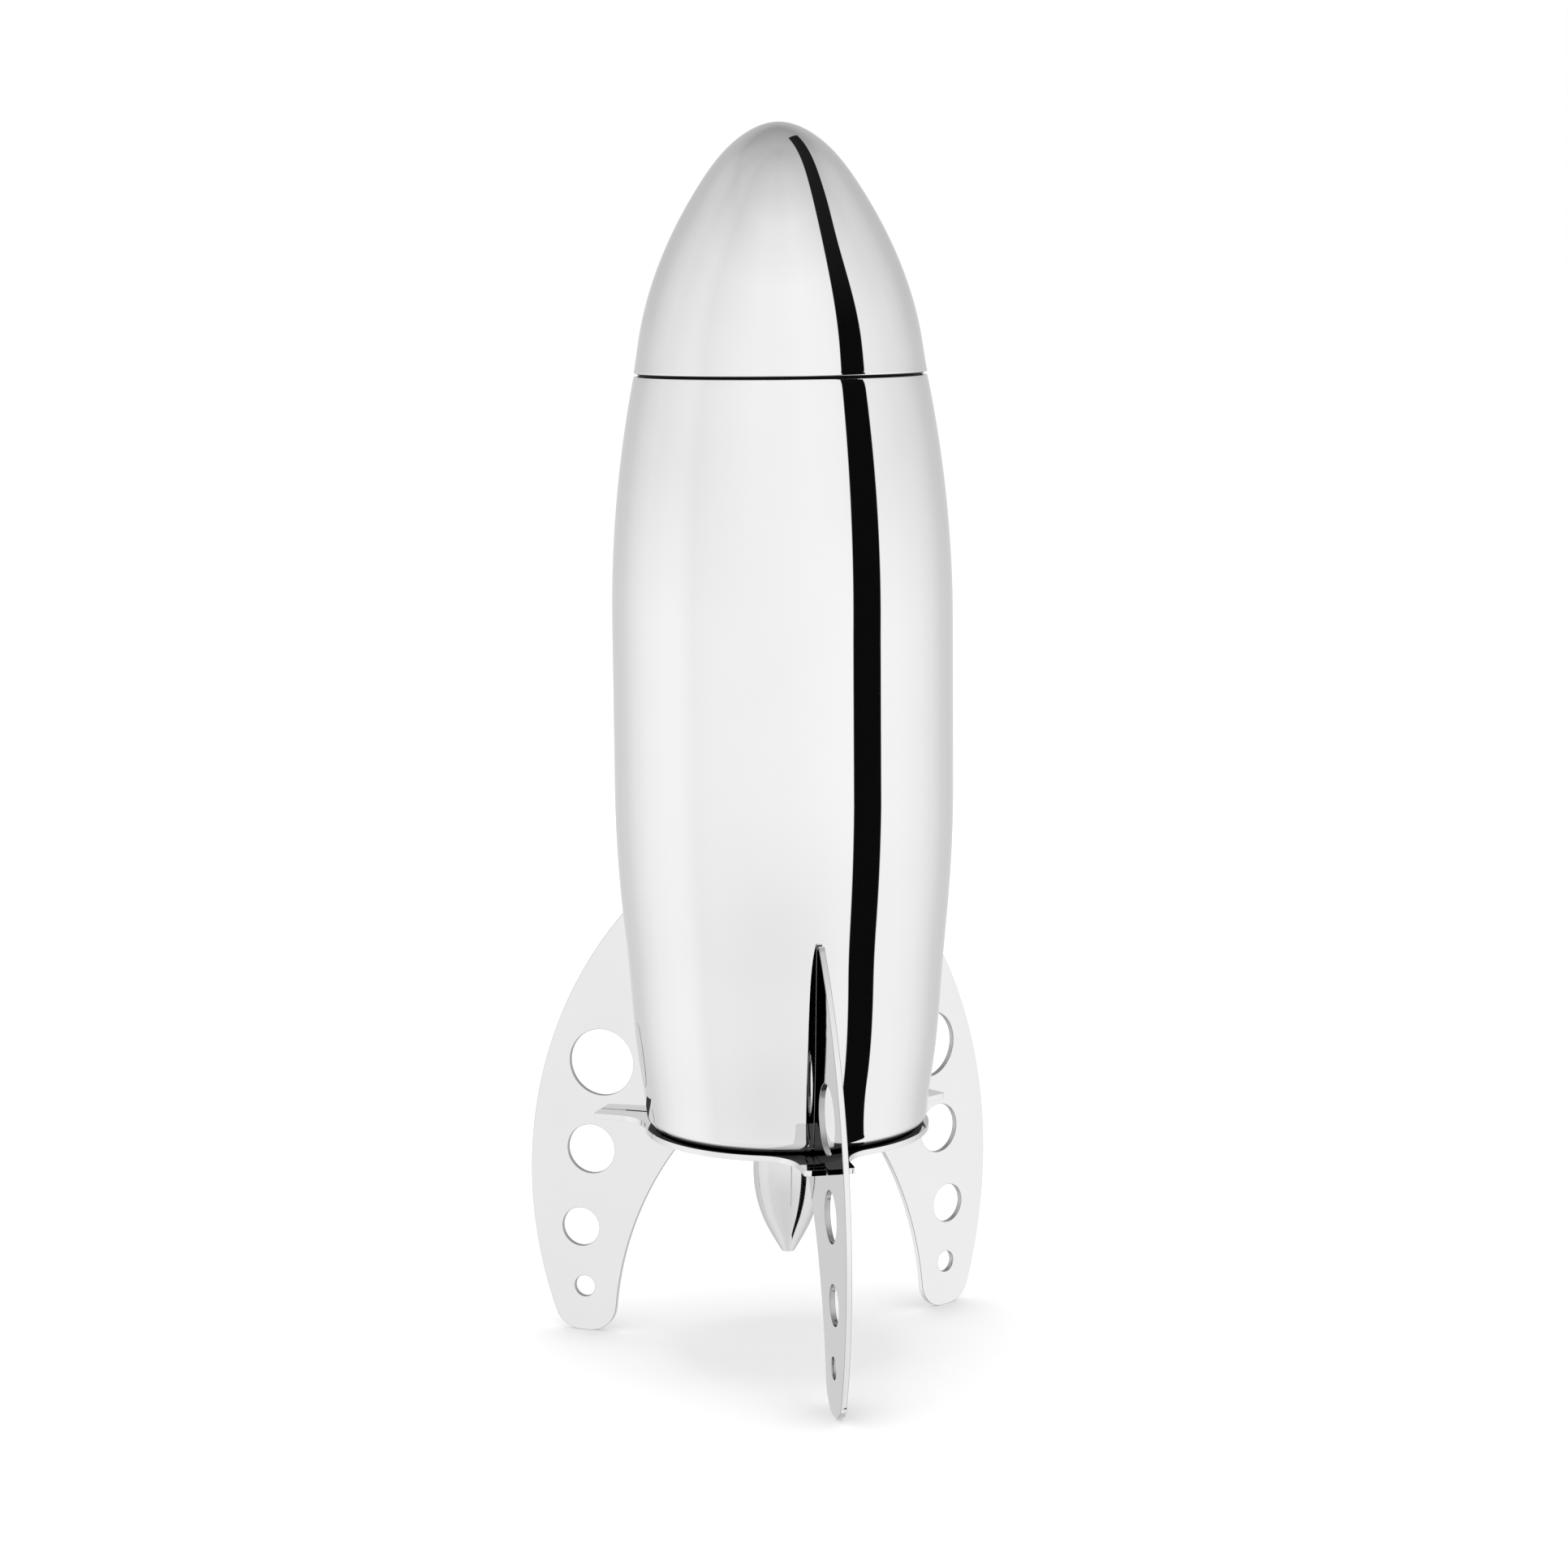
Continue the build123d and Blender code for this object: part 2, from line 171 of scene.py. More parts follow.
class Shading:
    """Adds nodes to one node tree."""

    def __init__(self, tree: bpy.types.NodeTree) -> None:
        """Starts on an emptied tree."""
        self.tree = tree
        tree.nodes.clear()

    def node(self, kind: str, settings: dict | None = None,
             values: dict | None = None) -> bpy.types.Node:
        """Adds any node.

        Args:
            kind: the node's type.
            settings: its own settings; "stops" gives a ramp's positions and values.
            values: what its input sockets hold, by name or number: a number, a colour,
                a socket or a signal.

        Returns:
            The node.
        """
        made = self.tree.nodes.new(kind)
        for name, value in (settings or {}).items():
            if name == "stops":
                self._stops(made.color_ramp, value)
            else:
                setattr(made, name, value)
        for name, value in (values or {}).items():
            source = value.socket if isinstance(value, Signal) else value
            if isinstance(source, bpy.types.NodeSocket):
                self.tree.links.new(source, made.inputs[name])
            else:
                made.inputs[name].default_value = source
        return made

    @staticmethod
    def _stops(ramp: bpy.types.ColorRamp, stops: Iterable[tuple[float, float]]) -> None:
        """Gives a ramp its grey stops, as (position, value) pairs.

        Args:
            ramp: the ramp.
            stops: where from 0 to 1, and the grey there.
        """
        stops = list(stops)
        while len(ramp.elements) < len(stops):
            ramp.elements.new(1.0)
        for element, (place, value) in zip(ramp.elements, stops):
            element.position = place
            element.color = (value, value, value, 1.0)

    def signal(self, node: bpy.types.Node, output: str | int = 0) -> Signal:
        """One output of a node as a signal."""
        return Signal(self.tree, node.outputs[output])

    def axes(self, source: str) -> tuple[Signal, Signal, Signal]:
        """The three parts of a Texture Coordinate output, such as Object.

        Args:
            source: the output's name.

        Returns:
            Its three axes.
        """
        place = self.node("ShaderNodeTexCoord").outputs[source]
        parts = self.node("ShaderNodeSeparateXYZ", values={"Vector": place})
        return tuple(self.signal(parts, number) for number in range(3))

    def noise(self, place: bpy.types.NodeSocket, size: float, detail: float = 2.0) -> Signal:
        """Soft noise whose patches are about size metres across."""
        values = {"Vector": place, "Scale": 1 / size, "Detail": detail}
        return self.signal(self.node("ShaderNodeTexNoise", values=values), "Fac")

    def lines(self, along: Signal, pitch: float) -> Signal:
        """Noise in one direction only, in lines about pitch metres apart.

        Args:
            along: the place on that direction.
            pitch: in metres.

        Returns:
            The noise.
        """
        settings = {"noise_dimensions": "1D"}
        values = {"W": along, "Scale": 1 / pitch, "Detail": 3.0}
        return self.signal(self.node("ShaderNodeTexNoise", settings, values), "Fac")

    def blend(self, share: Signal, first: tuple | bpy.types.NodeSocket,
              second: tuple) -> bpy.types.NodeSocket:
        """Two colours mixed by a share.

        Args:
            share: how much of the second.
            first: a colour or a socket.
            second: a colour.

        Returns:
            The mix.
        """
        if not isinstance(first, bpy.types.NodeSocket):
            first = (*first, 1.0)
        values = {0: share, 6: first, 7: (*second, 1.0)}
        return self.node("ShaderNodeMix", {"data_type": "RGBA"}, values).outputs[2]

    def relief(self, height: Signal, depth: float,
               under: bpy.types.NodeSocket | None = None) -> bpy.types.NodeSocket:
        """Adds a Bump node.

        Args:
            height: the relief, about 0 to 1.
            depth: what 1 stands for, in metres.
            under: the normal that the relief is laid on.

        Returns:
            The new normal.
        """
        values = {"Strength": 1.0, "Distance": depth, "Height": height}
        if under:
            values["Normal"] = under
        return self.node("ShaderNodeBump", values=values).outputs["Normal"]


# Finishes


class Finish:
    """Anything that makes a node material."""

    name: str

    def material(self) -> bpy.types.Material:
        """Builds the node material.

        Returns:
            The material, under the finish's name.
        """
        made = bpy.data.materials.new(self.name)
        made.use_nodes = True
        shading = Shading(made.node_tree)
        values = {"Surface": self.shader(shading).outputs[0]}
        shading.node("ShaderNodeOutputMaterial", values=values)
        return made

    def shader(self, shading: Shading) -> bpy.types.Node:
        """Adds the finish's nodes and returns the last one."""
        raise NotImplementedError


@dataclass(frozen=True)
class Steel(Finish):
    """Stainless steel, from a mirror polish to a satin."""

    name: str
    grain: Grain
    pale: tuple[float, float, float] = (0.715, 0.715, 0.715)
    dull: tuple[float, float, float] = (0.685, 0.685, 0.69)
    gloss: float = 0.012         # roughness where the polish is best
    haze: float = 0.03           # added where it is worst
    line_pitch: float = 0.0003   # metres between fine polishing lines
    line_depth: float = 2e-9
    wave_size: float = 0.05      # slow unevenness of the drawn sheet
    wave_depth: float = 1.5e-5
    cut: tuple[float, float, float] = (0.4, 0.4, 0.4)
    cut_haze: float = 0.15       # roughness added on a sheet's cut rims
    wear_size: float = 0.02      # patches of better and worse polish
    painted_shade_radius: float = 0.0            # metres from the axis to where rims get painted seam shade, 0 for nowhere
    painted_shade_edge: float = 0.0003
    painted_shade_haze: float = 0.3
    black: tuple[float, float, float] = (0.02, 0.02, 0.02)

    def shader(self, shading: Shading) -> bpy.types.Node:
        """Adds the finish's nodes.

        Args:
            shading: the material's node tree.

        Returns:
            The shader's node.
        """
        place = shading.node("ShaderNodeTexCoord").outputs["Object"]
        across, depth, up = shading.axes("Object")
        if self.grain is Grain.TURNED:
            along = up + (across * across + depth * depth) ** 0.5
        else:
            along = across + depth * 1.7
        lines = shading.lines(along, self.line_pitch)
        wear = shading.noise(place, self.wear_size, detail=4.0)
        patches = shading.noise(place, self.wave_size)
        uneven = shading.relief(patches, self.wave_depth)
        colour = shading.blend(wear, self.pale, self.dull)
        rough = self.gloss + self.haze * wear.rise(0.35, 0.8) * (0.4 + 0.6 * lines)
        if self.grain is Grain.SHEET:
            mark = shading.node("ShaderNodeAttribute", {"attribute_name": CUT_MARK})
            cut = shading.signal(mark, "Fac")
            colour = shading.blend(cut, colour, self.cut)
            rough = rough + cut * self.cut_haze
        # painted shade: rims farther from the axis than this turn black and rougher, standing in
        # for the shadow in the narrow seam between barrel and nose
        if self.painted_shade_radius:
            outwards = (across * across + depth * depth) ** 0.5
            painted_seam_shade = outwards.rise(self.painted_shade_radius, self.painted_shade_radius + self.painted_shade_edge)
            colour = shading.blend(painted_seam_shade, colour, self.black)
            rough = rough + painted_seam_shade * self.painted_shade_haze
        return shading.node("ShaderNodeBsdfPrincipled", values={
            "Base Color": colour,
            "Metallic": 1.0,
            "Roughness": rough,
            "Normal": shading.relief(lines, self.line_depth, uneven),
        })


@dataclass(frozen=True)
class Silicone(Finish):
    """Translucent matt silicone rubber."""

    name: str = "clear_silicone"
    pale: tuple[float, float, float] = (0.82, 0.82, 0.80)
    milky: tuple[float, float, float] = (0.70, 0.71, 0.70)
    cloud_size: float = 0.008    # metres
    speck: float = 0.0006
    speck_depth: float = 2e-5

    def shader(self, shading: Shading) -> bpy.types.Node:
        """Adds the finish's nodes.

        Args:
            shading: the material's node tree.

        Returns:
            The shader's node.
        """
        place = shading.node("ShaderNodeTexCoord").outputs["Object"]
        cloud = shading.noise(place, self.cloud_size)
        grain = shading.noise(place, self.speck)
        return shading.node("ShaderNodeBsdfPrincipled", values={
            "Base Color": shading.blend(cloud, self.pale, self.milky),
            "Roughness": 0.42 + 0.2 * cloud,
            "IOR": 1.41,
            "Subsurface Weight": 0.3,
            "Subsurface Scale": 0.002,
            "Normal": shading.relief(grain, self.speck_depth),
        })


@dataclass(frozen=True)
class StudioFloor(Finish):
    """Matt white board under the stand."""

    name: str = "white_board"
    white: tuple[float, float, float] = (0.93, 0.93, 0.93)
    off_white: tuple[float, float, float] = (0.92, 0.92, 0.92)
    patch: float = 0.3           # metres

    def shader(self, shading: Shading) -> bpy.types.Node:
        """Adds the finish's nodes.

        Args:
            shading: the material's node tree.

        Returns:
            The shader's node.
        """
        place = shading.node("ShaderNodeTexCoord").outputs["Object"]
        return shading.node("ShaderNodeBsdfDiffuse", values={
            "Color": shading.blend(shading.noise(place, self.patch), self.white, self.off_white),
        })


SPUN_MIRROR = Steel("spun_mirror_steel", Grain.TURNED)
SHEET_MIRROR = Steel(
    "sheet_mirror_steel", Grain.SHEET, pale=(0.69, 0.69, 0.69), dull=(0.66, 0.66, 0.66),
    gloss=0.008, haze=0.02, wave_size=0.03, wave_depth=2e-6,
)
# a darker base colour than the other steels: partly a less polished turning, partly painted shade
# for the shaded space under the plate
CONE_MIRROR = Steel(
    "turned_mirror_steel", Grain.TURNED, pale=(0.66, 0.66, 0.66), dull=(0.52, 0.52, 0.52),
    gloss=0.05, haze=0.12, wave_size=0.02, wave_depth=2e-5,
)
# its rims beyond 34.6 mm from the axis carry painted shade: the dark seam line between barrel and
# nose
SATIN = Steel(
    "satin_steel", Grain.TURNED, pale=(0.66, 0.66, 0.655), dull=(0.58, 0.58, 0.58),
    gloss=0.24, haze=0.14, line_pitch=0.0002, line_depth=3e-7, wave_depth=1e-5, painted_shade_radius=0.0346,
)
SCREW_STEEL = Steel(
    "turned_screw_steel", Grain.TURNED, pale=(0.66, 0.66, 0.65), dull=(0.52, 0.52, 0.52),
    gloss=0.2, haze=0.15, line_pitch=0.0001, line_depth=5e-7, wave_size=0.004, wave_depth=4e-6,
)
SILICONE = Silicone()


# Outlines


def arc(centre: Point, radius: float, start: float, end: float, steps: int) -> list[Point]:
    """Points along an arc, ends included.

    Args:
        centre: its centre.
        radius: its radius.
        start: where it starts, in degrees from the outward direction.
        end: where it ends.
        steps: the number of chords.

    Returns:
        The points.
    """
    across, up = centre
    turns = (math.radians(start + (end - start) * number / steps) for number in range(steps + 1))
    return [(across + radius * math.cos(turn), up + radius * math.sin(turn)) for turn in turns]


def rounded(corners: Iterable[Corner], closed: bool = True, steps: int = 5) -> list[Point]:
    """Straight runs between corners, each corner rounded by its radius.

    Args:
        corners: the corners; a radius of 0 leaves one sharp.
        closed: whether the last corner runs back to the first.
        steps: chords in a rounded corner.

    Returns:
        The outline's points.
    """
    corners = list(corners)
    outline = []
    for number, (across, up, radius) in enumerate(corners):
        here = Vector((across, up))
        if radius <= 0 or not closed and number in (0, len(corners) - 1):
            outline.append((across, up))
            continue
        before = (Vector(corners[number - 1][:2]) - here).normalized()
        after = (Vector(corners[(number + 1) % len(corners)][:2]) - here).normalized()
        half = before.angle(after) / 2
        middle = here + (before + after).normalized() * (radius / math.sin(half))
        start = here + before * (radius / math.tan(half)) - middle
        turn = start.angle_signed(here + after * (radius / math.tan(half)) - middle)
        for step in range(steps + 1):
            outline.append(tuple(middle + Matrix.Rotation(-turn * step / steps, 2) @ start))
    return outline


def smooth_curve(stations: list[Point], start: Point, end: Point, steps: int) -> list[Point]:
    """The even curve through stations with given directions at its ends.

    Args:
        stations: the points that it passes.
        start: its direction at the first.
        end: its direction at the last.
        steps: chords from one station to the next.

    Returns:
        Points along the curve, stations included.
    """
    places = np.array(stations, float)
    chords = np.linalg.norm(np.diff(places, axis=0), axis=1)
    count = len(places)
    system = np.zeros((count, count))
    wanted = np.zeros((count, 2))
    system[0, 0] = system[-1, -1] = 1
    wanted[0] = np.array(start) / np.linalg.norm(start)
    wanted[-1] = np.array(end) / np.linalg.norm(end)
    for row in range(1, count - 1):
        before, after = chords[row - 1], chords[row]
        system[row, row - 1:row + 2] = after, 2 * (before + after), before
        ahead, behind = places[row + 1] - places[row], places[row] - places[row - 1]
        wanted[row] = 3 * (ahead * before / after + behind * after / before)
    slopes = np.linalg.solve(system, wanted)
    curve = []
    for row in range(count - 1):
        handle = chords[row] / 3
        knots = (
            places[row], places[row] + slopes[row] * handle,
            places[row + 1] - slopes[row + 1] * handle, places[row + 1],
        )
        run = interpolate_bezier(*(Vector((*knot, 0)) for knot in knots), steps + 1)
        curve += [(point.x, point.y) for point in run[:-1]]
    return [*curve, stations[-1]]


def offset(curve: list[Point], depth: float) -> list[Point]:
    """A curve drawn in by depth, square to its own direction, to its left.

    Args:
        curve: its points.
        depth: how far.

    Returns:
        The new points.
    """
    places = np.array(curve)
    along = np.gradient(places, axis=0)
    along /= np.linalg.norm(along, axis=1)[:, None]
    square = np.stack([-along[:, 1], along[:, 0]], axis=1)
    return [tuple(place) for place in places + square * depth]


# Meshes


def add_outline(mesh: bmesh.types.BMesh, outline: list[Point],
                closed: bool) -> list[bmesh.types.BMEdge]:
    """Adds an outline's edges in the XZ plane, in metres, and returns them.

    Args:
        mesh: the mesh.
        outline: its points, in millimetres.
        closed: whether the last point joins the first.

    Returns:
        The edges.
    """
    points = [mesh.verts.new((across * MM, 0, up * MM)) for across, up in outline]
    pairs = zip(points, points[1:] + points[:1] if closed else points[1:])
    return [mesh.edges.new(pair) for pair in pairs]


def face_outwards(mesh: bmesh.types.BMesh) -> None:
    """Merges doubles and turns a closed shape's faces outwards.

    Args:
        mesh: the mesh.
    """
    bmesh.ops.remove_doubles(mesh, verts=mesh.verts, dist=SAME_PLACE)
    bmesh.ops.recalc_face_normals(mesh, faces=mesh.faces)
    if mesh.calc_volume(signed=True) < 0:
        bmesh.ops.reverse_faces(mesh, faces=mesh.faces)


def turned(outline: list[Point], closed: bool = True, steps: int = 160) -> bmesh.types.BMesh:
    """A solid of revolution.

    Args:
        outline: radius and height, in millimetres, either closed or with its ends on the axis.
        closed: whether the outline closes on itself.
        steps: facets around the axis.

    Returns:
        The mesh.
    """
    mesh = bmesh.new()
    edges = add_outline(mesh, outline, closed)
    bmesh.ops.spin(
        mesh, geom=mesh.verts[:] + edges, cent=(0, 0, 0), axis=(0, 0, 1), dvec=(0, 0, 0),
        angle=math.tau, steps=steps, use_merge=True, use_duplicate=False,
    )
    face_outwards(mesh)
    return mesh


def cut_sheet(loops: list[list[Point]], thickness: float) -> bmesh.types.BMesh:
    """A flat sheet in the XZ plane, thickened evenly to both sides.

    Args:
        loops: its outline and its holes, in millimetres.
        thickness: in millimetres.

    Returns:
        The mesh, with sharp rims.
    """
    mesh = bmesh.new()
    edges = [edge for loop in loops for edge in add_outline(mesh, loop, closed=True)]
    bmesh.ops.triangle_fill(mesh, edges=edges, use_beauty=True, use_dissolve=False)
    bmesh.ops.translate(mesh, verts=mesh.verts, vec=(0, -thickness * MM / 2, 0))
    grown = bmesh.ops.extrude_face_region(mesh, geom=mesh.faces[:])
    moved = [part for part in grown["geom"] if isinstance(part, bmesh.types.BMVert)]
    bmesh.ops.translate(mesh, verts=moved, vec=(0, thickness * MM, 0))
    face_outwards(mesh)
    return mesh


def turn_mesh(mesh: bmesh.types.BMesh, turn: float, axis: str) -> None:
    """Turns a mesh around an axis, in degrees."""
    spin = Matrix.Rotation(math.radians(turn), 3, axis)
    bmesh.ops.rotate(mesh, verts=mesh.verts, cent=(0, 0, 0), matrix=spin)


def soften_rims(mesh: bmesh.types.BMesh, width: float) -> None:
    """Rounds every sharp rim of a sheet by width millimetres, and marks it as cut metal.

    Args:
        mesh: the sheet.
        width: how far the rounding reaches.
    """
    cut = mesh.faces.layers.float.new(CUT_MARK)
    rims = [edge for edge in mesh.edges if edge.is_manifold and edge.calc_face_angle() > RIM_ANGLE]
    made = bmesh.ops.bevel(
        mesh, geom=rims, offset=width * MM, offset_type="OFFSET", segments=2, profile=0.5,
        affect="EDGES", material=-1, clamp_overlap=True,
    )
    for face in made["faces"]:
        face[cut] = 1.0


@dataclass(frozen=True)
class Workshop:
    """Turns finished meshes into pieces that ride on the CAD bodies."""

    materials: dict[str, bpy.types.Material]

    def place(self, name: str, mesh: bmesh.types.BMesh, finish: Finish, body: Body, slot: Slot,
              node: str, flat: bool = False) -> bpy.types.Object:
        """Makes one piece.

        Args:
            name: the piece's name.
            mesh: its mesh, which is freed.
            finish: its finish.
            body: the body that it rides on.
            slot: the record's slot that its finish belongs to; not used.
            node: the CAD node that it stands for.
            flat: whether large faces keep their own normals up to the rims.

        Returns:
            The object.
        """
        data = bpy.data.meshes.new(name)
        mesh.to_mesh(data)
        mesh.free()
        data.shade_smooth()
        data.materials.append(self.materials[finish.name])
        made = bpy.data.objects.new(name, data)
        bpy.context.scene.collection.objects.link(made)
        if flat:
            weigh = made.modifiers.new("even_faces", "WEIGHTED_NORMAL")
            weigh.mode = "FACE_AREA"
            weigh.weight = 100
        else:
            data.set_sharp_from_angle(angle=CREASE)
        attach(made, body.value)
        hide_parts(node)
        LOG.info("%s: %d faces on %s", name, len(data.polygons), body.value)
        return made

    def dress(self, node: str, finish: Finish) -> None:
        """Gives a CAD node that stays its finish.

        Args:
            node: its name.
            finish: its finish.
        """
        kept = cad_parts[node]
        kept.data.materials.clear()
        kept.data.materials.append(self.materials[finish.name])
        LOG.info("%s: CAD node with %s", node, finish.name)


# The shaker's pieces


@dataclass(frozen=True)
class Shaker:
    """The barrel with its base and mouth."""

    widest: float = 43.5
    wall: float = 0.8
    seat: float = 61.2           # the barrel's lowest point
    foot: float = 36.5           # radius just above the bottom edge
    foot_lean: float = 0.1
    edge: float = 3.2            # bottom edge radius
    low: float = 150.0           # the straight stretch, from
    high: float = 192.2          # ... to
    top: float = 254.6
    seam: float = 37.15          # radius at the top
    lip: float = 0.3
    hole: float = 29.5
    stations: tuple[Point, ...] = ((80.2, 4.85), (105.2, 2.68), (120.6, 1.26))   # height, drop
    base_radius: float = 32.1
    bore: float = 33.0
    collar_out: float = 36.32
    shoulder: float = 254.2
    collar_depth: float = 12.0

    def flank(self, inset: float) -> list[Point]:
        """The outline from above the bottom edge to the straight stretch, drawn in by inset.

        Args:
            inset: millimetres inwards.

        Returns:
            The points, upwards.
        """
        widest = self.widest - inset
        inner = [(widest - drop, height) for height, drop in self.stations]
        stations = [(self.foot - inset, self.seat + self.edge), *inner, (widest, self.low)]
        return smooth_curve(stations, (self.foot_lean, 1), (0, 1), 24)

    def side(self, inset: float) -> list[Point]:
        """The outline from the bottom to the top, drawn in by inset.

        Args:
            inset: millimetres inwards.

        Returns:
            The points, upwards.
        """
        edge = self.edge - inset
        bottom = arc((self.foot - self.edge, self.seat + self.edge), edge, -90, 0, 14)
        tall, draw = self.top - self.high, self.widest - self.seam
        sweep = (tall ** 2 + draw ** 2) / (2 * draw)
        rise = math.degrees(math.asin(tall / sweep))
        upper = arc((self.widest - inset - sweep, self.high), sweep, 0, rise, 48)
        return bottom[:-1] + self.flank(inset) + upper

    def shell(self) -> bmesh.types.BMesh:
        """The drawn barrel with its rounded lip and the hole in its bottom.

        Returns:
            The mesh.
        """
        outer = self.side(0)
        inner = self.side(self.wall)
        lip = arc((outer[-1][0] - self.lip, self.top - self.lip), self.lip, 8, 90, 4)
        lip += arc((inner[-1][0] + self.lip, self.top - self.lip), self.lip, 90, 172, 4)
        hole = [(self.hole, self.seat + self.wall), (self.hole, self.seat)]
        body = [point for point in outer if point[1] < self.top - self.lip]
        lining = [point for point in inner if point[1] < self.top - self.lip]
        return turned(body + lip + lining[::-1] + hole, steps=FINE_TURN)

    def base(self) -> bmesh.types.BMesh:
        """The disc that closes the bottom, seen from inside.

        Returns:
            The mesh.
        """
        low, top = self.seat + self.wall, self.seat + 2 * self.wall
        rim = [(self.base_radius, low, 0), (self.base_radius, top, self.lip)]
        return turned(rounded([(0, low, 0), *rim, (0, top, 0)], closed=False), closed=False)

    def collar(self) -> bmesh.types.BMesh:
        """The mouth's shoulder and bore.

        Returns:
            The mesh.
        """
        top, bottom = self.shoulder, self.shoulder - self.collar_depth
        under, outside = top - self.wall, self.bore + self.wall
        return turned(rounded([
            (self.bore, bottom, self.lip), (outside, bottom, self.lip), (outside, under, self.lip),
            (self.collar_out, under, 0), (self.collar_out, top, 0), (self.bore, top, self.lip),
        ]))

    def build(self, shop: Workshop) -> None:
        """Makes and dresses the pieces.

        Args:
            shop: makes them.
        """
        shop.place(
            "polished_barrel", self.shell(), SPUN_MIRROR, Body.SHAKER, Slot.POLISHED, "body_shell",
        )
        shop.place("barrel_base_disc", self.base(), SATIN, Body.SHAKER, Slot.SATIN, "body_base")
        shop.place(
            "barrel_mouth_ring", self.collar(), SATIN, Body.SHAKER, Slot.SATIN, "mouth_collar",
        )


@dataclass(frozen=True)
class StrainerLid:
    """The strainer that plugs the mouth, with its neck and seal."""

    sleeve: float = 31.4
    wall: float = 0.8
    bead: float = 0.5
    sleeve_low: float = 241.4
    shoulder: float = 254.2
    flange: float = 35.55
    neck: float = 27.9
    weld_gap: float = 0.03
    neck_top: float = 269.5
    neck_round: float = 2.5
    opening: float = 23.9
    soft: float = 0.2
    lip: float = 0.3
    seal_out: float = 32.9
    seal_low: float = 244.8
    seal_height: float = 7.0
    rib_depth: float = 0.6
    ribs: int = 3

    def insert(self) -> bmesh.types.BMesh:
        """Sleeve, bead and flange.

        Returns:
            The mesh.
        """
        low, under = self.sleeve_low, self.shoulder
        over, top = low + self.wall, under + self.wall
        inside, bead = self.sleeve - self.wall, self.sleeve + self.bead
        inner = self.neck + self.weld_gap
        return turned(rounded([
            (inside, low, self.lip), (bead, low, self.lip), (bead, over, self.lip),
            (self.sleeve, over, 0), (self.sleeve, under, self.soft),
            (self.flange, under, self.soft), (self.flange, top, self.lip),
            (inner, top, 0), (inner, under, 0), (inside, under, self.lip),
        ]))

    def spout(self) -> bmesh.types.BMesh:
        """The pouring neck with its turned-in rim.

        Returns:
            The mesh.
        """
        low, top, under = self.shoulder, self.neck_top, self.neck_top - self.wall
        inside = self.neck - self.wall
        return turned(rounded([
            (self.neck, low, 0), (self.neck, top, self.neck_round),
            (self.opening, top, self.soft), (self.opening, under, self.soft),
            (inside, under, self.neck_round - self.wall), (inside, low, 0),
        ], steps=10))

    def seal(self) -> bmesh.types.BMesh:
        """The silicone ring with rounded ribs.

        Returns:
            The mesh.
        """
        inner, root = self.sleeve + self.weld_gap, self.seal_out - self.rib_depth
        low, top = self.seal_low, self.seal_low + self.seal_height
        pitch = self.seal_height / self.ribs
        corners = [(inner, low, 0), (root, low, 0)]
        for number in range(self.ribs):
            middle = low + pitch * (number + 0.5)
            for height, out in ((-1, root), (-1, self.seal_out), (1, self.seal_out), (1, root)):
                corners.append((out, middle + height * pitch / 4, self.soft))
        return turned(rounded([*corners, (root, top, 0), (inner, top, 0)], steps=4))

    def build(self, shop: Workshop) -> None:
        """Makes and dresses the pieces.

        Args:
            shop: makes them.
        """
        shop.place("strainer_sleeve", self.insert(), SATIN, Body.LID, Slot.SATIN, "strainer_insert")
        shop.place("strainer_spout", self.spout(), SATIN, Body.LID, Slot.SATIN, "pouring_neck")
        shop.place(
            "strainer_ribbed_seal", self.seal(), SILICONE, Body.LID, Slot.SILICONE, "strainer_seal",
        )
        shop.dress("strainer_disc", SATIN)


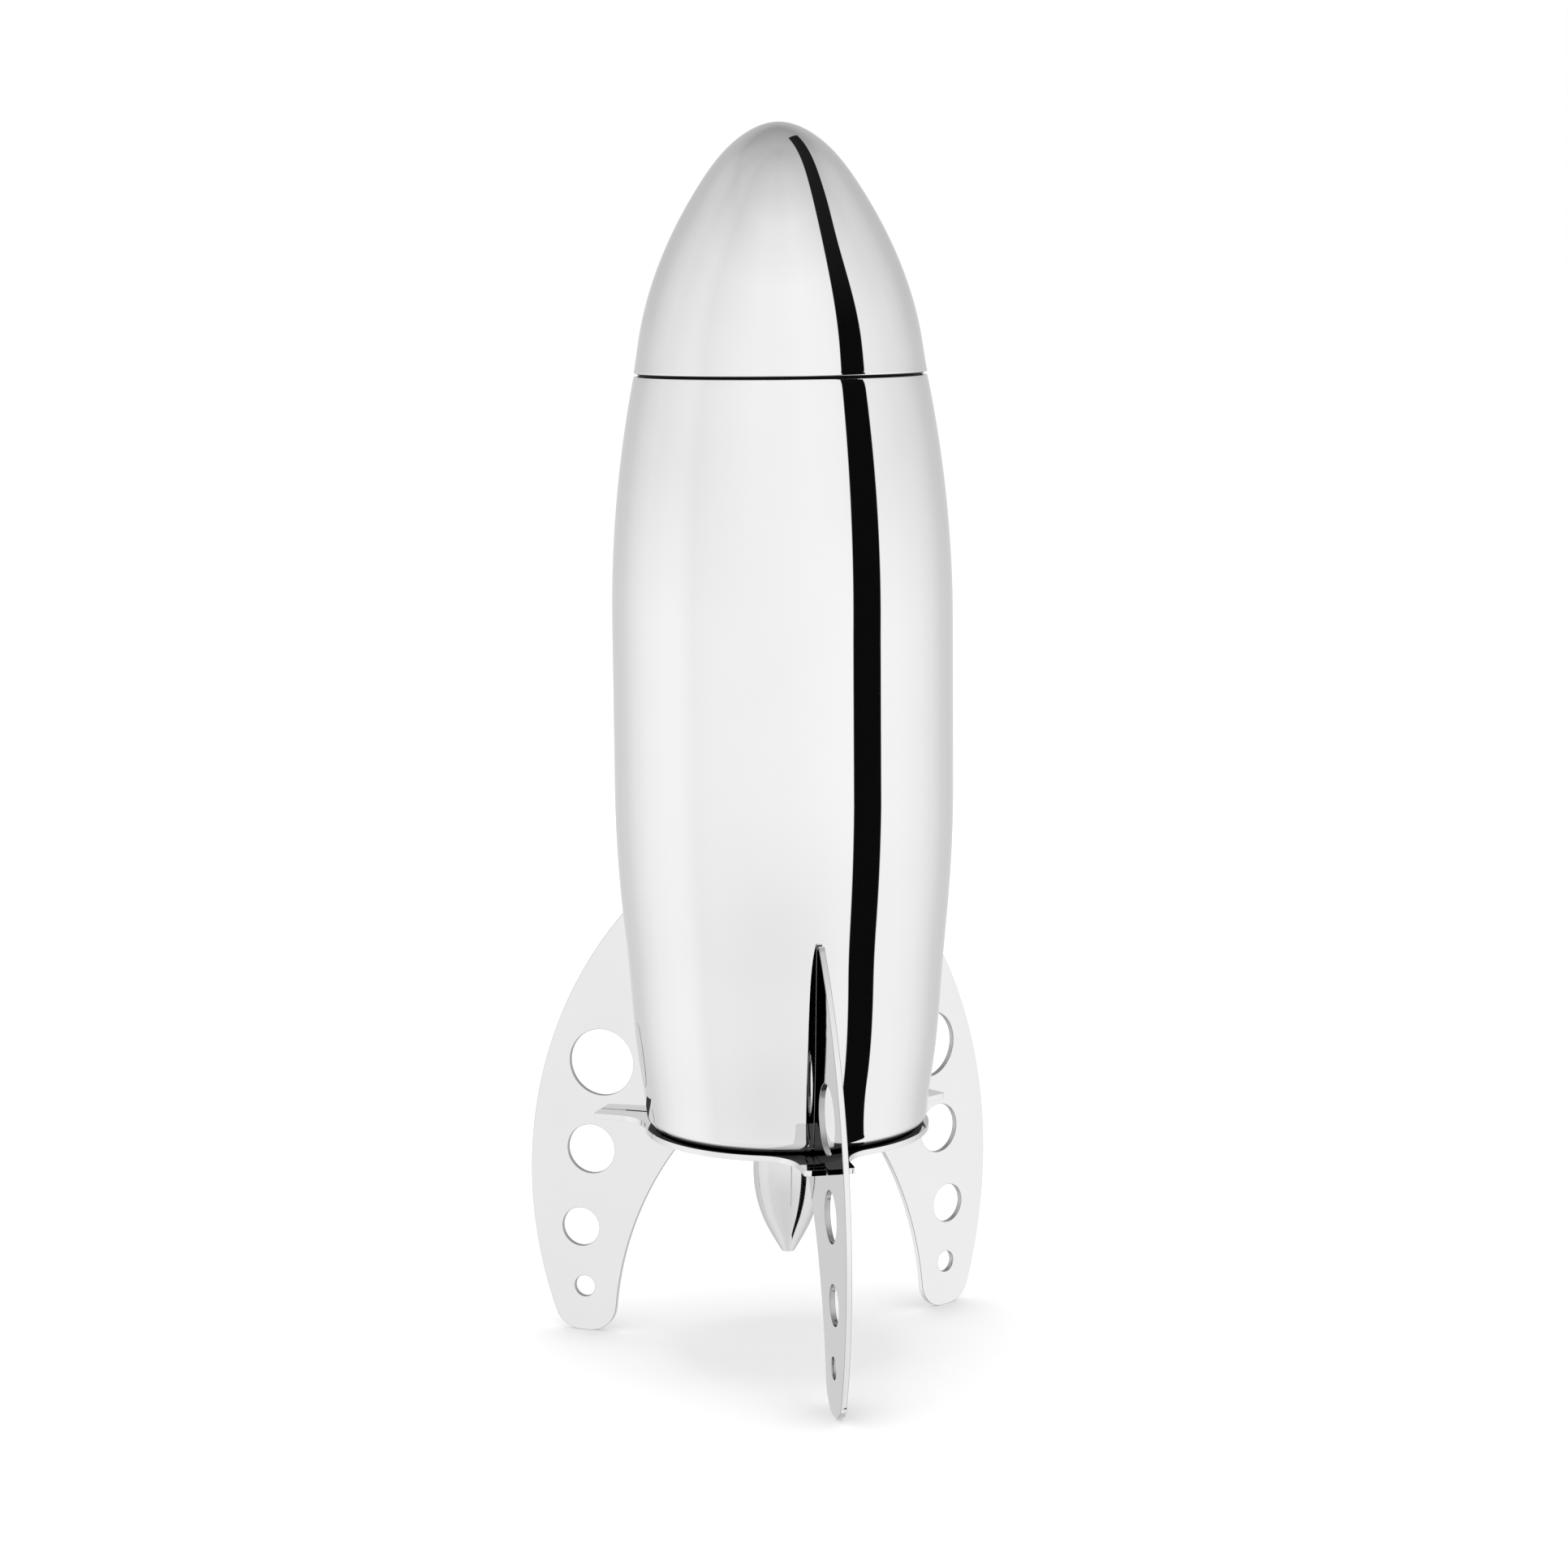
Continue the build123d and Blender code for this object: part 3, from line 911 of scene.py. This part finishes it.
@dataclass(frozen=True)
class NoseCap:
    """The ogive cap with its collar and seal."""

    seam: float = 37.15
    bottom: float = 255.3
    tip: float = 317.67
    wall: float = 0.8
    slope: float = 0.185
    lip: float = 0.3
    stations: tuple[Point, ...] = ((35.43, 265.7), (30.68, 281.9), (20.17, 302.05), (9.58, 314.08))
    collar: float = 29.2
    collar_low: float = 255.0
    collar_height: float = 11.5
    flange: float = 36.18
    seal: float = 28.0
    seal_out: float = 29.17
    seal_low: float = 255.3
    seal_height: float = 8.0

    def shell(self) -> bmesh.types.BMesh:
        """The nose, closed at its tip, with a rounded lip at the seam.

        Returns:
            The mesh.
        """
        stations = [(self.seam, self.bottom), *self.stations, (0, self.tip)]
        outer = smooth_curve(stations, (-self.slope, 1), (-1, 0), 26)
        inner = offset(outer, self.wall)
        inner[-1] = (0, self.tip - self.wall)
        over = self.bottom + self.lip
        lip = arc((self.seam - self.lip, over), self.lip, 0, -90, 4)[::-1]
        lip = arc((self.seam - self.wall + self.lip, over), self.lip, 180, 270, 4) + lip
        skin = [point for point in outer if point[1] > over + self.lip]
        lining = [point for point in inner if point[1] > over + self.lip]
        return turned(lining[::-1] + lip + skin, closed=False, steps=FINE_TURN)

    def inner_collar(self) -> bmesh.types.BMesh:
        """The sleeve over the neck, with the flange that closes the cap's base.

        Returns:
            The mesh.
        """
        low, outside = self.collar_low, self.collar + self.wall
        over, top = low + self.wall, low + self.collar_height
        return turned(rounded([
            (self.collar, low, self.lip), (self.flange, low, 0), (self.flange, over, 0),
            (outside, over, self.lip), (outside, top, self.lip), (self.collar, top, self.lip),
        ]))

    def lining(self) -> bmesh.types.BMesh:
        """The silicone sleeve that grips the neck.

        Returns:
            The mesh.
        """
        low, top = self.seal_low, self.seal_low + self.seal_height
        return turned(rounded([
            (self.seal, low, self.lip), (self.seal_out, low, 0), (self.seal_out, top, self.lip),
            (self.seal, top, self.lip),
        ]))

    def build(self, shop: Workshop) -> None:
        """Makes and dresses the pieces.

        Args:
            shop: makes them.
        """
        shop.place(
            "polished_nose", self.shell(), SPUN_MIRROR, Body.CAP, Slot.POLISHED, "nose_shell",
        )
        shop.place(
            "nose_collar_ring", self.inner_collar(), SATIN, Body.CAP, Slot.SATIN, "cap_collar",
        )
        shop.place("nose_seal_ring", self.lining(), SILICONE, Body.CAP, Slot.SILICONE, "cap_seal")


@dataclass(frozen=True)
class Stand:
    """Plate with three arms, three pierced fins and the tail cone."""

    shaker: Shaker
    sheet: float = 1.5
    gap: float = 0.03
    slot_gap: float = 0.2        # beside a fin
    plate_top: float = 61.2
    disc: float = 37.0
    arm_half: float = 6.45
    arm_end: float = 51.6
    arm_fillet: float = 12.0
    arm_corner: float = 1.0
    lap: float = 44.5            # radius where an arm's slot and a fin's slot meet
    screw_hole: float = 2.05
    sink: float = 1.4
    fin_clear: float = 0.6
    fin_start: float = -33       # degrees around the barrel's bottom edge
    outer_widest: Point = (71.85, 41.9)
    outer_sweep: float = 109.7
    leg_widest: Point = (48.75, -2.2)
    leg_sweep: float = 89.8
    foot_round: float = 7.6
    tip_width: float = 1.1
    holes: tuple[Corner, ...] = (
        (51.3, 73.7, 8.9), (54.67, 49.95, 6.6), (57.95, 28.4, 5.2), (57.1, 12.1, 2.85),
    )
    soft: float = 0.16           # rims
    cone: tuple[Point, ...] = ((7.6, 59.7), (8.87, 46.3), (6.42, 35.2), (1.7, 26.45))
    cone_start: Point = (0.2, -1)
    cone_end: Point = (-0.6, -1)
    tapped: float = 49.2

    def arm_outline(self) -> list[Point]:
        """One third of the plate's outline, about an arm that points along the first axis.

        Returns:
            The points, anticlockwise.
        """
        reach = self.disc + self.arm_fillet
        side = self.arm_half + self.arm_fillet
        root = math.sqrt(reach ** 2 - side ** 2)
        turn = math.degrees(math.atan2(side, root))
        slot = self.sheet / 2 + self.slot_gap
        corner = (self.arm_end - self.arm_corner, -self.arm_half + self.arm_corner)
        half = [(self.lap - self.gap, -slot), (self.arm_end, -slot)]
        half += arc(corner, self.arm_corner, 0, -90, 6)
        half += arc((root, -side), self.arm_fillet, 90, 180 - turn, 14)
        half += arc((0, 0), self.disc, -turn, -60, 20)[1:-1]
        return half[::-1] + [(across, -up) for across, up in half]

    def plate(self) -> bmesh.types.BMesh:
        """The plate, with slots in its arms and a countersunk hole in its middle.

        Returns:
            The mesh.
        """
        outline = []
        for turn in FIN_TURNS.values():
            spin = Matrix.Rotation(math.radians(turn), 2)
            outline += [tuple(spin @ Vector(point)) for point in self.arm_outline()]
        hole = arc((0, 0), self.screw_hole, 0, 360, 40)[:-1]
        mesh = cut_sheet([outline, hole], self.sheet)
        turn_mesh(mesh, 90, "X")
        bmesh.ops.scale(mesh, verts=mesh.verts, vec=(1, -1, 1))
        lift = (self.plate_top - self.sheet / 2) * MM
        bmesh.ops.translate(mesh, verts=mesh.verts, vec=(0, 0, lift))
        face_outwards(mesh)
        near, high = 2 * self.screw_hole * MM, (self.plate_top - self.gap) * MM
        rims = [edge for edge in mesh.edges if all(
            point.co.z > high and point.co.xy.length < near for point in edge.verts
        ) and edge.calc_face_angle() > RIM_ANGLE]
        bmesh.ops.bevel(
            mesh, geom=rims, offset=self.sink * MM, offset_type="OFFSET", segments=1, profile=0.5,
            affect="EDGES", material=-1,
        )
        soften_rims(mesh, self.soft)
        return mesh

    def fin_outline(self) -> list[Point]:
        """A fin's outline, along the first axis, clear of the barrel.

        Returns:
            The points.
        """
        under = self.plate_top - self.sheet - self.gap
        over = self.plate_top + self.gap
        barrel = self.shaker
        centre = (barrel.foot - barrel.edge, barrel.seat + barrel.edge)
        beside = arc(centre, barrel.edge + self.fin_clear, self.fin_start, 0, 6)
        flank = beside[:-1] + barrel.flank(-self.fin_clear)
        middle = (self.outer_widest[0] - self.outer_sweep, self.outer_widest[1])
        hollow = (self.leg_widest[0] - self.leg_sweep, self.leg_widest[1])

        def outer(height: float) -> float:
            """The outer edge's radius at a height."""
            return middle[0] + math.sqrt(self.outer_sweep ** 2 - (height - middle[1]) ** 2)

        flank = [point for point in flank if outer(point[1]) - point[0] > self.tip_width]
        tip = flank[-1][1]
        tip_turn = math.degrees(math.asin((tip - middle[1]) / self.outer_sweep))
        low = self.foot_round
        toe = middle[0] + math.sqrt((self.outer_sweep - low) ** 2 - (low - middle[1]) ** 2)
        heel = hollow[0] + math.sqrt((self.leg_sweep + low) ** 2 - (low - hollow[1]) ** 2)
        toe_turn = math.degrees(math.atan2(low - middle[1], toe - middle[0]))
        heel_turn = math.degrees(math.atan2(low - hollow[1], heel - hollow[0]))
        leg_turn = math.degrees(math.asin((under - hollow[1]) / self.leg_sweep))
        outline = [(self.lap, under), (self.lap, over), (barrel.foot, over)] + flank
        outline += arc(middle, self.outer_sweep, tip_turn, toe_turn, 72)
        outline += arc((toe, low), low, toe_turn, -90, 18)[1:]
        outline += arc((heel, low), low, -90, heel_turn - 180, 18)
        outline += arc(hollow, self.leg_sweep, heel_turn, leg_turn, 40)[1:]
        return outline

    def fin(self, turn: float) -> bmesh.types.BMesh:
        """A fin at a turn around the axis, in degrees.

        Args:
            turn: its turn.

        Returns:
            The mesh.
        """
        holes = [arc((across, up), radius, 0, 360, 72)[:-1] for across, up, radius in self.holes]
        mesh = cut_sheet([self.fin_outline(), *holes], self.sheet)
        soften_rims(mesh, self.soft)
        cut = mesh.faces.layers.float[CUT_MARK]
        for face in mesh.faces:
            spot = face.calc_center_median() / MM
            for across, up, radius in self.holes:
                if math.hypot(spot.x - across, spot.z - up) < radius + self.soft:
                    face[cut] = 1.0
        turn_mesh(mesh, turn, "Z")
        return mesh

    def tail(self) -> bmesh.types.BMesh:
        """The turned drop under the plate, tapped from above.

        Returns:
            The mesh.
        """
        flank = smooth_curve(list(self.cone), self.cone_start, self.cone_end, 20)
        (_, top), *_, (_, tip) = self.cone
        bore = [(0, self.tapped), (self.screw_hole, self.tapped), (self.screw_hole, top)]
        return turned(bore + flank + [(0, tip)], closed=False, steps=96)

    def build(self, shop: Workshop) -> None:
        """Makes and dresses the pieces.

        Args:
            shop: makes them.
        """
        kind = (SHEET_MIRROR, Body.STAND, Slot.POLISHED)
        shop.place("stand_arm_plate", self.plate(), *kind, "stand_plate", flat=True)
        for name, turn in FIN_TURNS.items():
            shop.place(f"pierced_fin_{name}", self.fin(turn), *kind, f"fin_{name}", flat=True)
        shop.place(
            "turned_tail_cone", self.tail(), CONE_MIRROR, Body.STAND, Slot.POLISHED, "tail_cone",
        )
        shop.dress("tail_cone_screw", SCREW_STEEL)


# Studio


@dataclass(frozen=True)
class FlagEdge:
    """An edge of the black flag: upright below, then straight on over the shaker."""

    azimuth: float               # degrees to the right of the camera, where it is upright
    lean: float                  # degrees to the right, which its upper stretch runs along
    top: float                   # degrees up, the highest that it reaches


@dataclass(frozen=True)
class Studio:
    """White surround with one black flag, a white floor and the camera."""

    lens: float = 80.55
    distance: float = 893.2
    height: float = 281.7
    turn: float = 11.85          # degrees, from the front fin to the camera
    pitch: float = 8.387
    roll: float = 0.502
    floor_half: float = 12.0     # metres
    flag_left: FlagEdge = FlagEdge(azimuth=48.2, lean=34.6, top=71.8)
    flag_right: FlagEdge = FlagEdge(azimuth=69.2, lean=38.0, top=57.5)
    flag_skew: float = 0.065     # degrees to the right for each degree up
    flag_corner: float = 12.0    # degrees, where an edge turns from upright to leaning
    flag_low: float = -70.0      # degrees, the black flag's lower end
    flag_back: float = 150.0     # degrees to the right, where its top ends
    flag_edge: float = 0.6       # degrees
    flag_black: float = 0.005
    flag_sheen: float = 0.02     # added where the flag is high
    sheen: Ends = (20, 80)       # degrees up, from none to all of it
    # a dark sector that shows after two reflections, by degrees to the right and up
    dark_from: Ends = (-11.5, 8.0)
    dark_rise: Ends = (-42.0, 6.0)
    deep: float = 0.1            # of the surround, left after three reflections
    fill: float = 1.11           # what matt surfaces get
    bright: float = 1.31         # of the surround, against the white that the camera sees
    ceiling: float = 0.48
    ceiling_rise: Ends = (55, 85)
    # brightness by degrees to the right, and by degrees up, in front and aside
    around: Stops = (
        (-180, 0.55), (-150, 0.62), (-135, 0.69), (-120, 0.83), (-105, 0.93), (-85, 0.98),
        (-74, 0.98), (-62, 0.92), (-48, 0.94), (0, 0.955), (40, 1.0), (85, 0.97), (105, 0.91),
        (120, 0.81), (135, 0.67), (150, 0.6), (180, 0.55),
    )
    upwards: Stops = (
        (-90, 0.8), (-30, 0.86), (-18, 0.93), (-8, 1.0), (36, 1.0), (50, 0.92), (65, 0.84),
        (90, 0.8),
    )
    upwards_aside: Stops = (
        (-90, 0.9), (-30, 0.98), (-5, 1.0), (9, 0.87), (18, 0.86), (28, 0.82), (37, 0.78),
        (45, 0.7), (52, 0.6), (90, 0.5),
    )
    aside: Ends = (20, 95)       # degrees to a side, from all in front to all aside
    lamp_height: float = 1.5     # metres
    lamp_size: float = 0.6
    lamp_power: float = 5.5      # watts

    def floor(self) -> None:
        """Adds the white floor, which polished steel doesn't show."""
        mesh = bmesh.new()
        bmesh.ops.create_grid(mesh, x_segments=8, y_segments=8, size=self.floor_half)
        data = bpy.data.meshes.new("studio_floor")
        mesh.to_mesh(data)
        mesh.free()
        data.materials.append(StudioFloor().material())
        board = bpy.data.objects.new("studio_floor", data)
        bpy.context.scene.collection.objects.link(board)
        board.visible_glossy = False

    def lamp(self) -> None:
        """Adds the soft overhead lamp, which polished steel doesn't show."""
        light = bpy.data.lights.new("overhead_lamp", "AREA")
        light.shape = "SQUARE"
        light.size = self.lamp_size
        light.energy = self.lamp_power
        lamp = bpy.data.objects.new("overhead_lamp", light)
        bpy.context.scene.collection.objects.link(lamp)
        lamp.location = (0, 0, self.lamp_height)
        lamp.visible_glossy = False

    def camera(self) -> None:
        """Adds the camera."""
        lens = bpy.data.cameras.new("camera")
        lens.lens = self.lens
        lens.sensor_width = 36.0
        lens.clip_start, lens.clip_end = 0.05, 60.0
        camera = bpy.data.objects.new("camera", lens)
        bpy.context.scene.collection.objects.link(camera)
        turn = math.radians(self.turn)
        back = Vector((-math.sin(turn), -math.cos(turn), 0)) * self.distance * MM
        aim = Matrix.Rotation(-turn, 4, "Z")
        aim = aim @ Matrix.Rotation(math.radians(90 - self.pitch), 4, "X")
        aim = aim @ Matrix.Rotation(-math.radians(self.roll), 4, "Z")
        camera.matrix_world = Matrix.Translation(back + Vector((0, 0, self.height * MM))) @ aim
        bpy.context.scene.camera = camera

    def surround(self) -> None:
        """Adds the world: what polished steel reflects, by direction."""
        world = bpy.data.worlds.new("studio")
        bpy.context.scene.world = world
        world.use_nodes = True
        world.cycles.sampling_method = "NONE"
        shading = Shading(world.node_tree)
        across, depth, up = shading.axes("Generated")
        turn = math.radians(self.turn)
        towards = across * -math.sin(turn) + depth * -math.cos(turn)
        right = across * math.cos(turn) + depth * -math.sin(turn)
        azimuth = right.math("ARCTAN2", towards) * math.degrees(1)
        rise = up.math("ARCSINE") * math.degrees(1)
        ways = shading.node("ShaderNodeLightPath")
        around = self._ramp(shading, azimuth, 180, self.around)
        front = self._ramp(shading, rise, 90, self.upwards)
        side = self._ramp(shading, rise, 90, self.upwards_aside)
        aside = azimuth.math("ABSOLUTE").rise(*self.aside)
        upwards = front * (1 - aside) + side * aside
        high = rise.rise(*self.ceiling_rise)
        flag = self._flag(shading, azimuth, rise)
        bounces = shading.signal(ways, "Ray Depth")   # counts one more than the reflections
        later = bounces.math("GREATER_THAN", 2.5)
        deep = bounces.math("GREATER_THAN", 3.5)
        dark = self._band(azimuth, self.dark_from, 1.0) * self._band(rise, self.dark_rise, 2.0)
        black = self.flag_black + self.flag_sheen * rise.rise(*self.sheen)
        open_sky = around * upwards * (1 - high) + high * self.ceiling
        left = (1 - dark * later) * (1 - flag) * (1 - deep * (1 - self.deep))
        seen = self.bright * open_sky * left + flag * black
        matt = shading.signal(ways, "Is Diffuse Ray")
        plain = shading.signal(ways, "Is Camera Ray")
        strength = seen * (1 - matt) * (1 - plain) + matt * self.fill + plain
        values = {"Color": (1, 1, 1, 1), "Strength": strength}
        light = shading.node("ShaderNodeBackground", values=values)
        shading.node("ShaderNodeOutputWorld", values={"Surface": light.outputs[0]})

    def _flag(self, shading: Shading, azimuth: Signal, rise: Signal) -> Signal:
        """1 where a direction meets the black flag, between its two edges.

        Args:
            shading: the world's node tree.
            azimuth: degrees to the right of the camera.
            rise: degrees up.

        Returns:
            0 to 1.
        """
        inside = rise.rise(self.flag_low, self.flag_low + 1) * (1 - azimuth.rise(
            self.flag_back, self.flag_back + 1))
        slope = rise * math.radians(1)
        for edge, side in ((self.flag_left, 1), (self.flag_right, -1)):
            upright = azimuth - rise * self.flag_skew - edge.azimuth
            along = ((azimuth - edge.lean) * math.radians(1)).math("SINE") * slope.math("COSINE")
            over = along - slope.math("SINE") / math.tan(math.radians(edge.top))
            past = upright.math("SMOOTH_MIN", over * math.degrees(1), self.flag_corner)
            inside = (past * (side / self.flag_edge) + 0.5).rise(0, 1) * inside
        return inside

    @staticmethod
    def _ramp(shading: Shading, place: Signal, reach: float, stops: Iterable[Ends]) -> Signal:
        """A ramp's value by a place from -reach to reach degrees.

        Args:
            shading: the node tree.
            place: the place.
            reach: half of the ramp.
            stops: degrees and the value there.

        Returns:
            The value.
        """
        shares = [(degrees / (2 * reach) + 0.5, value) for degrees, value in stops]
        values = {"Fac": place / (2 * reach) + 0.5}
        return shading.signal(shading.node("ShaderNodeValToRGB", {"stops": shares}, values))

    @staticmethod
    def _band(place: Signal, ends: Ends, edge: float) -> Signal:
        """1 between two ends, with edges that fade over a width."""
        start, end = (place.rise(middle - edge / 2, middle + edge / 2) for middle in ends)
        return start * (1 - end)

    def build(self) -> None:
        """Sets the studio up."""
        bpy.context.scene.view_settings.view_transform = "Standard"
        self.surround()
        self.floor()
        self.lamp()
        self.camera()


def main() -> None:
    logging.basicConfig(level=logging.INFO, format="%(message)s")
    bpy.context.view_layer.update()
    finishes = (SPUN_MIRROR, SHEET_MIRROR, CONE_MIRROR, SATIN, SCREW_STEEL, SILICONE)
    shop = Workshop({finish.name: finish.material() for finish in finishes})
    shaker = Shaker()
    shaker.build(shop)
    StrainerLid().build(shop)
    NoseCap().build(shop)
    Stand(shaker).build(shop)
    Studio().build()
    bpy.context.view_layer.update()


if __name__ == "__main__":
    main()
